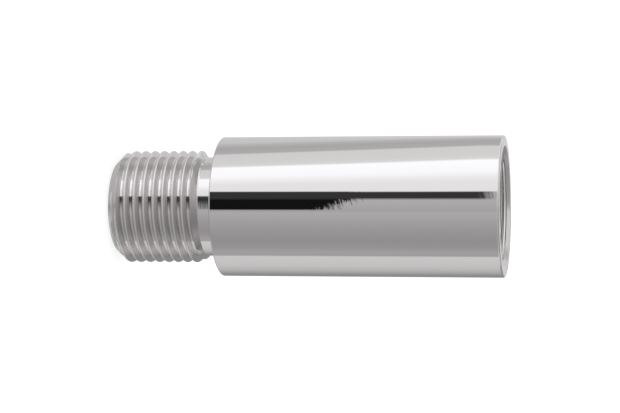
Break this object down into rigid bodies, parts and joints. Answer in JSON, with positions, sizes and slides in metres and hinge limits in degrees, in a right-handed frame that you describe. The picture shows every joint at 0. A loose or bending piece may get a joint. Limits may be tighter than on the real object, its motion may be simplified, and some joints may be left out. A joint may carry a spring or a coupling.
{
  "type": "threaded pipe extension",
  "caption": "Straight chrome-plated brass pipe extension: a plain round barrel with a female thread in its mouth and a shorter male threaded stub, to lengthen a pipe connection.",
  "frame": {"origin": "on the axis, at the face of the male end, which the part stands on", "axes": "+Z along the part's axis, from the male end towards the open mouth of the female thread"},
  "size_m": [0.026, 0.026, 0.0727],
  "materials": {
    "chromed_brass": "polished"
  },
  "bodies": {
    "root": {"threaded_extension": "chromed_brass"}
  },
  "joints": []
}
